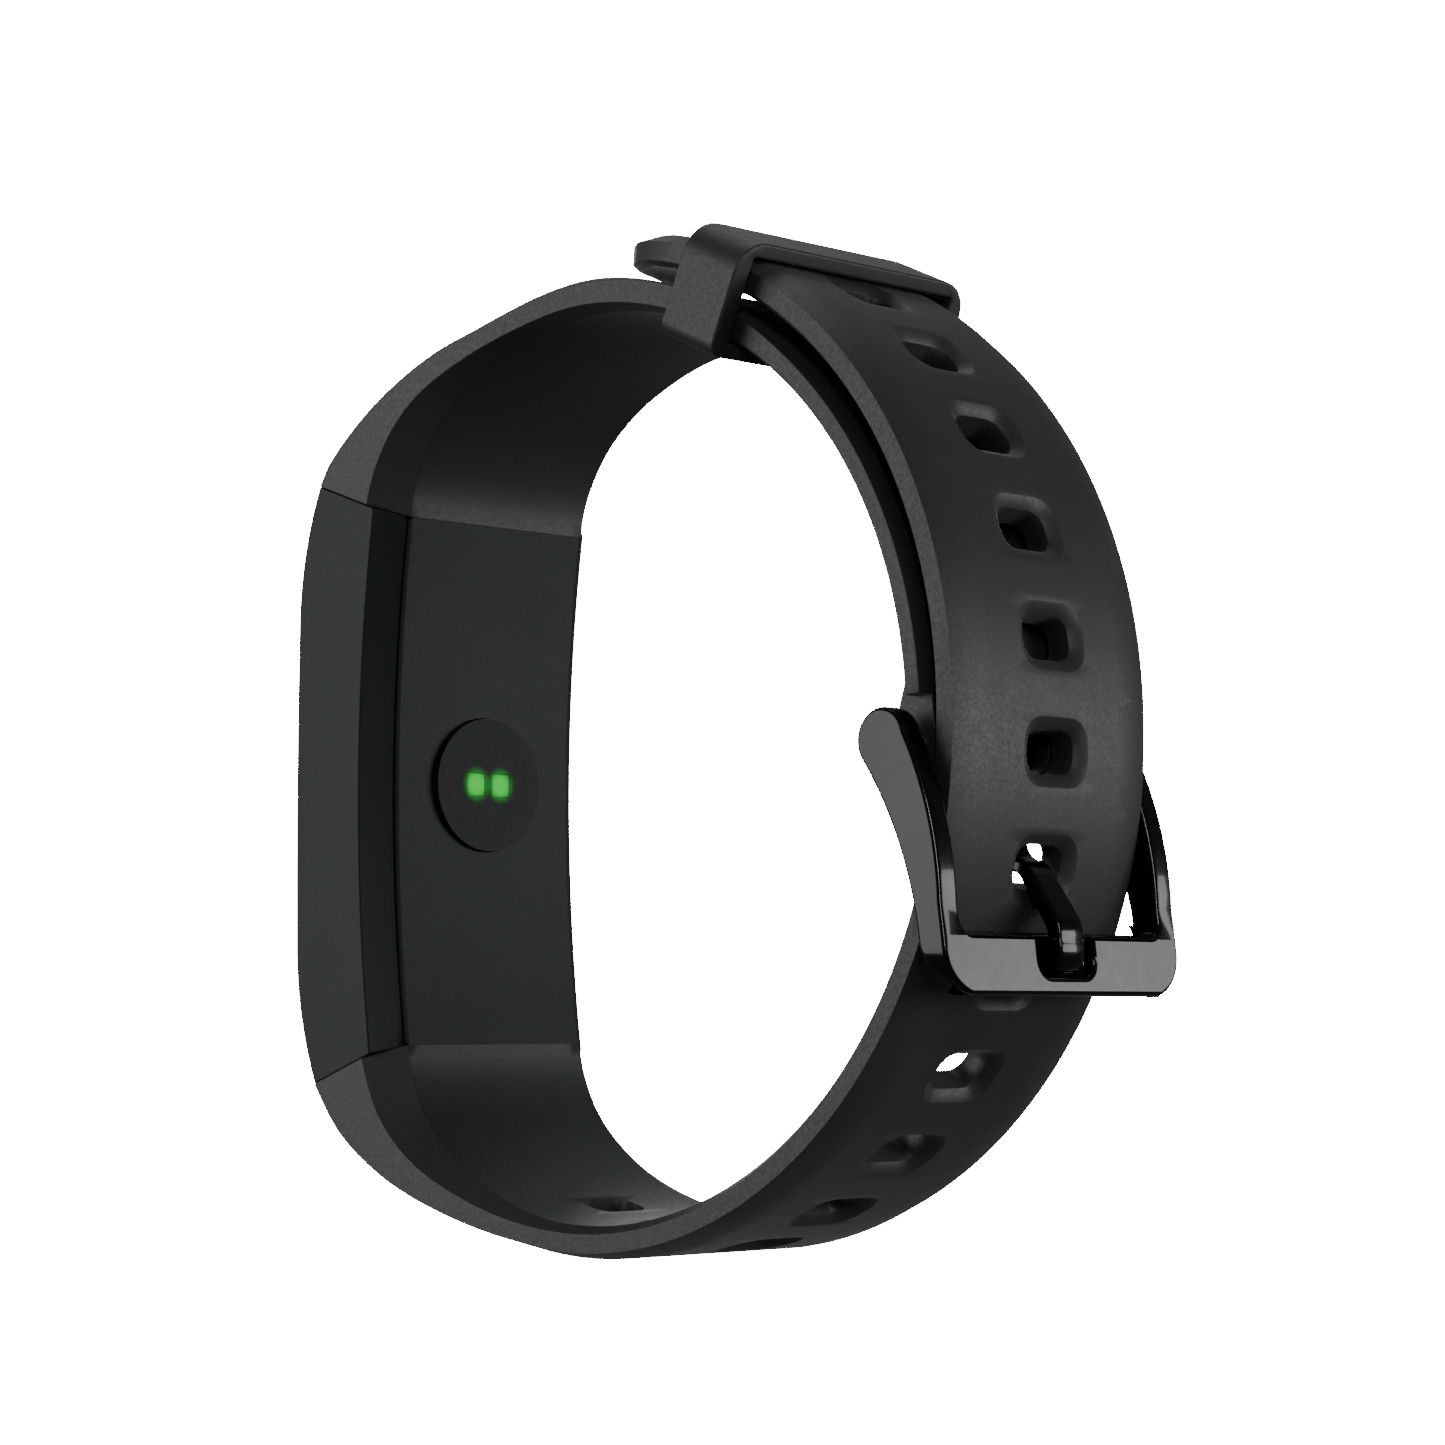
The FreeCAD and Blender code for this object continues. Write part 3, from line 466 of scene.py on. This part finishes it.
def cell_frame(wide_half):
    """A hole's cell outline as (u, v): u from -1 to 1 along the strap, v across it."""
    steps = [-1 + 2 * i / CELL for i in range(CELL)]
    sides = SPREAD[:-1]
    return ([(u, -wide_half) for u in steps] + [(1, v * wide_half) for v in sides]
            + [(-u, wide_half) for u in steps] + [(-1, -v * wide_half) for v in sides])


def oblong_loop(outline, pitch_half, wide_half, long_half, short_half, corner):
    """A rounded rectangle with one point for each point of a cell's outline."""
    loop = []
    for u, v in outline:
        direction = Vector((u * short_half, v / wide_half * long_half)).normalized()
        along, across = oblong(direction, long_half, short_half, corner)
        loop.append((along / pitch_half, across))
    return loop


# ---------------------------------------------------------------- long strap

RADIUS = 30.15              # outer face of the long strap
LIFT = 0.8                  # how far the upper half of the strap stands above the lower
PITCH = math.radians(12.36) * RADIUS            # between holes, along the outer face
TONGUE_HOLE = math.radians(-14.95) * RADIUS     # place of the hole that the tongue is in
HOLES, HOLES_ABOVE = 14, 6  # in all, and above the tongue's
TIP = 90.5                  # angle of the strap's end
MOUTH = (2.7, 1.95, 1.45)   # half sizes of the countersink, and its corner radius
THROUGH = (1.95, 1.3, 1.0)  # the same of the hole
SINK = 0.5                  # depth of the countersink
FACE_STEPS = (1.0, 0.66, 0.33, 0.0)     # loops of points between a cell's outline and its hole


def angle_at(distance):
    """The angle of a place a distance along the long strap's outer face, from +X upward."""
    if distance < LIFT:
        return math.degrees(distance / RADIUS)
    turn = (distance - LIFT) / RADIUS
    return math.degrees(turn + LIFT * math.cos(turn) / RADIUS)


long_strap = Strap(
    lines={
        "skin": [(-133.6, 24.36), (-130.0, 25.45), (-124.0, 26.7), (-115.0, 27.55),
                 (-104.0, 27.97), (-94.0, 28.15), (90.5, 28.15)],
        "low": [(-136.1, 26.66), (-129.0, 28.1), (-121.0, 28.72), (-110.0, 28.72),
                (-88.0, 28.62), (-70.0, 28.58), (50.0, 28.5), (90.5, 28.4)],
        "high": [(-139.9, 31.3), (-133.0, 31.54), (-124.0, 31.02), (-113.0, 30.25),
                 (-101.0, 29.8), (-88.0, 29.75), (-60.0, 29.7), (30.0, 29.7), (60.0, 29.6),
                 (90.5, 29.55)],
        "outer": [(-139.9, 31.3), (-133.0, 31.54), (-124.0, 31.02), (-113.0, 30.35),
                  (-104.0, 30.17), (-98.0, 30.15), (90.5, 30.15)],
    },
    joined=-116.0,
    chamfer=lambda angle: 1.43 * smooth((angle + 122.0) / 20.0),
    flat=lambda angle: SKIN_HALF + 0.3 * smooth((angle + 115.0) / 30.0),
    lift=LIFT)


def holed_cell(skin, centre):
    """One hole with its countersink, and the strap's two faces round it."""
    def ring(loop, line, inset=0.0):
        """Points of a loop laid on the ring; u is a share of half the pitch."""
        points = []
        for u, v in loop:
            angle = angle_at(centre + u * PITCH / 2)
            wider = long_strap.half(line, angle) / long_strap.half(line, middle)
            points.append(long_strap.point(line, angle, v * wider, inset))
        return points

    def between(inner, outer, share):
        return [(i[0] + (o[0] - i[0]) * share, i[1] + (o[1] - i[1]) * share)
                for i, o in zip(inner, outer)]

    middle = angle_at(centre)
    outer_half = long_strap.half("outer", middle)
    edge = cell_frame(outer_half)
    skin_edge = cell_frame(long_strap.half("skin", middle))
    mouth = oblong_loop(edge, PITCH / 2, outer_half, *MOUTH)
    hole = oblong_loop(edge, PITCH / 2, outer_half, *THROUGH)
    loops = [ring(between(mouth, edge, share), "outer") for share in FACE_STEPS]
    loops.append(ring(hole, "outer", SINK))
    loops += [ring(between(hole, skin_edge, share), "skin") for share in FACE_STEPS[::-1]]
    skin.grid(loops, closed=True)
    angles = [angle_at(centre + PITCH * (i / CELL - 0.5)) for i in range(CELL + 1)]
    long_strap.sides(skin, angles)


TIP_STEPS = 8


def strap_tip(skin, start):
    """The round end, drawn as arcs about the middle of the line where it starts."""
    def arc_point(line, step, share):
        half = long_strap.half(line, start)
        turn = math.pi * (step / ACROSS - 0.5)
        run = half * math.cos(turn) * share
        angle = start + math.degrees(run / RADIUS)
        return long_strap.point(line, angle, half * math.sin(turn))

    for line in ("outer", "skin"):
        rows = [[arc_point(line, step, share / TIP_STEPS) for step in range(ACROSS + 1)]
                for share in range(TIP_STEPS + 1)]
        skin.grid(rows)
    skin.grid([[arc_point(line, step, 1) for step in range(ACROSS + 1)]
               for line in ("outer", "high", "low", "skin")])


def sections(strap, start, end, steps):
    return [strap.section(start + (end - start) * i / steps) for i in range(steps + 1)]


def make_long_strap():
    """From the pod round below: a plain stretch, the holes, another stretch and the tip."""
    skin = Skin()
    last_hole = TONGUE_HOLE + (HOLES_ABOVE + 1 - HOLES) * PITCH
    first_angle = angle_at(last_hole - PITCH / 2)
    joint = long_strap.lines["skin"][0][0]
    plain_end = sections(long_strap, joint, first_angle, 16)
    skin.grid(plain_end, closed=True)
    skin.face(plain_end[0])
    for index in range(HOLES):
        holed_cell(skin, last_hole + index * PITCH)
    after = angle_at(last_hole + (HOLES - 0.5) * PITCH)
    tip_start = TIP - math.degrees(NARROW / RADIUS)
    skin.grid(sections(long_strap, after, tip_start, 6), closed=True)
    strap_tip(skin, tip_start)
    made = skin.piece("long_strap", "strap_rubber")
    soften(made, STRAP_EDGE)
    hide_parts("strap_long")
    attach(made, "band")


# ---------------------------------------------------------------- short strap

low_pin, high_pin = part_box("spring_bar_tube")
PIVOT = Vector(((low_pin.x + high_pin.x) / 2, 0, (low_pin.z + high_pin.z) / 2)) / MM
LUG_RADIUS, LUG_BORE = 1.65, 0.78   # the lug round the spring bar, and its tunnel
LUG_HALF, SLOT_HALF = 7.2, 2.3      # half widths of the lug, and of the tongue's slot in it
SLOT_TOP = 0.75             # height of the slot's upper end
OVERLAP = 0.1               # how far the middle of the lug runs into its sides
LUG_START = 3.4             # the angle where the strap runs into its lug

short_strap = Strap(
    lines={
        "skin": [(137.05, 22.95), (134.0, 23.81), (130.0, 24.58), (124.0, 25.4),
                 (117.0, 25.88), (109.0, 26.12), (100.0, 26.22), (7.0, 26.2)],
        "low": [(139.3, 25.31), (136.0, 25.98), (130.0, 26.77), (123.0, 27.09),
                (113.0, 26.84), (103.0, 26.68), (91.0, 26.72), (75.0, 26.55), (55.0, 26.38),
                (7.0, 26.35)],
        "high": [(142.8, 30.05), (140.0, 30.16), (132.0, 29.61), (124.0, 28.99),
                 (115.0, 28.37), (108.0, 28.0), (90.0, 28.03), (70.0, 27.85), (50.0, 27.4),
                 (7.0, 27.33)],
        "outer": [(142.8, 30.05), (140.0, 30.16), (132.0, 29.61), (124.0, 28.99),
                  (115.0, 28.45), (108.0, 28.22), (98.0, 28.28), (88.0, 28.3), (74.0, 27.95),
                  (60.0, 27.6), (50.0, 27.53), (7.0, 27.5)],
    },
    joined=118.0,
    chamfer=lambda angle: 0.5 * smooth((118.0 - angle) / 12.0),
    flat=lambda angle: SKIN_HALF + 0.72 * smooth((90.0 - angle) / 35.0))


def knuckle(skin, start, end, top=None):
    """A stretch of the lug between two places across the strap.

    It ends round the spring bar, or in a flat cut at the height top.
    """
    strap_end = LUG_START + 6.0
    inner, outer = polar(26.3, strap_end), polar(27.4, strap_end)
    if top is not None:
        outline = [inner, (PIVOT.x - 1.35, top), (PIVOT.x + 1.55, top), outer]
        ends = [[(x, y, z) for x, z in outline] for y in (start, end)]
        for loop in ends:
            skin.face(loop)
        skin.grid(ends, closed=True)
        return
    turns = [math.radians(150.0 + 222.0 * i / 24) for i in range(25)]
    rim = [(PIVOT.x + LUG_RADIUS * math.cos(a), PIVOT.z + LUG_RADIUS * math.sin(a))
           for a in turns]
    outline = [inner] + rim + [outer]
    ends = [[(x, y, z) for x, z in outline] for y in (start, end)]
    bore = []
    for x, z in outline:
        direction = Vector((x - PIVOT.x, z - PIVOT.z)).normalized() * LUG_BORE
        bore.append((PIVOT.x + direction.x, PIVOT.z + direction.y))
    holes = [[(x, y, z) for x, z in bore] for y in (start, end)]
    skin.grid([holes[0], ends[0], ends[1], holes[1], holes[0]], closed=True)


def make_short_strap():
    """The strap down to its lug, and the lug as a second piece."""
    skin = Skin()
    joint = short_strap.lines["skin"][0][0]
    rows = sections(short_strap, joint, LUG_START, 64)
    skin.grid(rows, closed=True)
    skin.face(rows[0])
    skin.face(rows[-1])
    made = skin.piece("short_strap", "strap_rubber")
    soften(made, STRAP_EDGE)
    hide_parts("strap_short")
    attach(made, "band")

    lug = Skin()
    knuckle(lug, -LUG_HALF, -SLOT_HALF)
    knuckle(lug, SLOT_HALF, LUG_HALF)
    knuckle(lug, -SLOT_HALF - OVERLAP, SLOT_HALF + OVERLAP, top=SLOT_TOP)
    end = lug.piece("strap_lug", "strap_rubber")
    soften(end, 0.12)
    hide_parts("strap_short")
    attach(end, "band")


# ---------------------------------------------------------------- keeper

KEEPER_ANGLE = 65.4         # place of the keeper round the strap
KEEPER_LENGTH = 4.7         # along the strap
# half width, inner and outer radius, and the corner radius at each
KEEPER_OUTSIDE = (9.65, 25.0, 32.0, 0.9, 2.0)
KEEPER_INSIDE = (8.4, 25.85, 31.1, 0.12, 0.2)


def rounded_loop(half, low, high, radius_low, radius_high, steps=6):
    """A rounded rectangle as (across, radius) points."""
    corners = [(half - radius_low, low + radius_low, -90, radius_low),
               (half - radius_high, high - radius_high, 0, radius_high),
               (-half + radius_high, high - radius_high, 90, radius_high),
               (-half + radius_low, low + radius_low, 180, radius_low)]
    points = []
    for x, y, start, radius in corners:
        for i in range(steps + 1):
            across, up = polar(radius, start + 90 * i / steps)
            points.append((x + across, y + up))
    return points


def make_keeper():
    outside = rounded_loop(*KEEPER_OUTSIDE)
    inside = rounded_loop(*KEEPER_INSIDE)
    x, z = polar(1.0, KEEPER_ANGLE)
    out = Vector((x, 0, z))
    along = Vector((-out.z, 0, out.x))

    def place(points, at):
        return [tuple(out * r + along * at + Vector((0, y, 0))) for y, r in points]

    half = KEEPER_LENGTH / 2
    skin = Skin()
    skin.grid([place(outside, -half), place(outside, half), place(inside, half),
               place(inside, -half), place(outside, -half)], closed=True)
    made = skin.piece("keeper", "strap_rubber")
    soften(made, 0.16)
    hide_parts("keeper_loop")
    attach(made, "keeper")


# ---------------------------------------------------------------- studio

LIGHT_DISTANCE = 700
WHITE = (1.0, 1.0, 1.0, 1.0)
STAGE_GLOW = 40.0


def softbox(name, direction, size, radiance):
    """An area light facing the object, of an even radiance."""
    data = bpy.data.lights.new(name, "AREA")
    data.shape = "RECTANGLE"
    data.size, data.size_y = size[0] * MM, size[1] * MM
    data.energy = radiance * math.pi * data.size * data.size_y
    lamp = bpy.data.objects.new(name, data)
    lamp.location = Vector(direction).normalized() * LIGHT_DISTANCE * MM
    lamp.rotation_mode = "QUATERNION"
    lamp.rotation_quaternion = (-lamp.location).to_track_quat("-Z", "Y")
    bpy.context.scene.collection.objects.link(lamp)


def stage_piece(piece, name):
    """A pale, evenly glowing surface, seen by the camera only, as in a light tent."""
    made = material(name, (0.9, 0.9, 0.9), 0.9, Emission_Strength=STAGE_GLOW)
    shader_of(made).inputs["Emission Color"].default_value = WHITE
    piece.name = name
    piece.data.materials.append(made)
    piece.visible_diffuse = False
    piece.visible_glossy = False
    piece.visible_transmission = False
    piece.visible_shadow = False


def make_stage():
    floor_z = cad_bounds[0].z - 0.5 * MM
    bpy.ops.mesh.primitive_plane_add(size=5.0, location=(0, 0, floor_z))
    stage_piece(bpy.context.object, "floor")
    bpy.ops.mesh.primitive_uv_sphere_add(segments=48, ring_count=24, radius=3.0)
    stage_piece(bpy.context.object, "backdrop")


def make_world():
    world = bpy.data.worlds.new("studio")
    world.use_nodes = True
    back = world.node_tree.nodes["Background"]
    back.inputs["Color"].default_value = WHITE
    back.inputs["Strength"].default_value = 0.09
    bpy.context.scene.world = world


def make_camera():
    data = bpy.data.cameras.new("camera")
    data.lens, data.sensor_width = 89.69, 36.0
    data.clip_start, data.clip_end = 0.005, 20.0
    camera = bpy.data.objects.new("camera", data)
    camera.location = (157.99 * MM, -151.96 * MM, -15.72 * MM)
    camera.rotation_euler = (math.radians(94.63), 0.0, math.radians(45.4))
    bpy.context.scene.collection.objects.link(camera)
    bpy.context.scene.camera = camera


make_camera()
make_world()
make_stage()
softbox("right", (0.88, 0.47, 0.04), (620, 220), 5.8)
softbox("left", (-0.62, -0.78, 0.12), (480, 480), 3.0)
softbox("top", (-0.3, 0.2, 1.0), (500, 500), 1.0)
softbox("edges", (0.7, -0.66, 0.3), (40, 260), 32.0)
softbox("back", (-0.8, 0.55, 0.25), (300, 300), 2.0)
finish_cad_nodes()
make_long_strap()
make_short_strap()
make_keeper()
soften(nodes["buckle_frame"], 0.3, segments=4, join_flats=True)
soften(nodes["buckle_tongue"], 0.25, segments=4, join_flats=True)
for name, width in (("main_housing", 0.12), ("front_lens", 0.1)):
    soften(nodes[name], width)
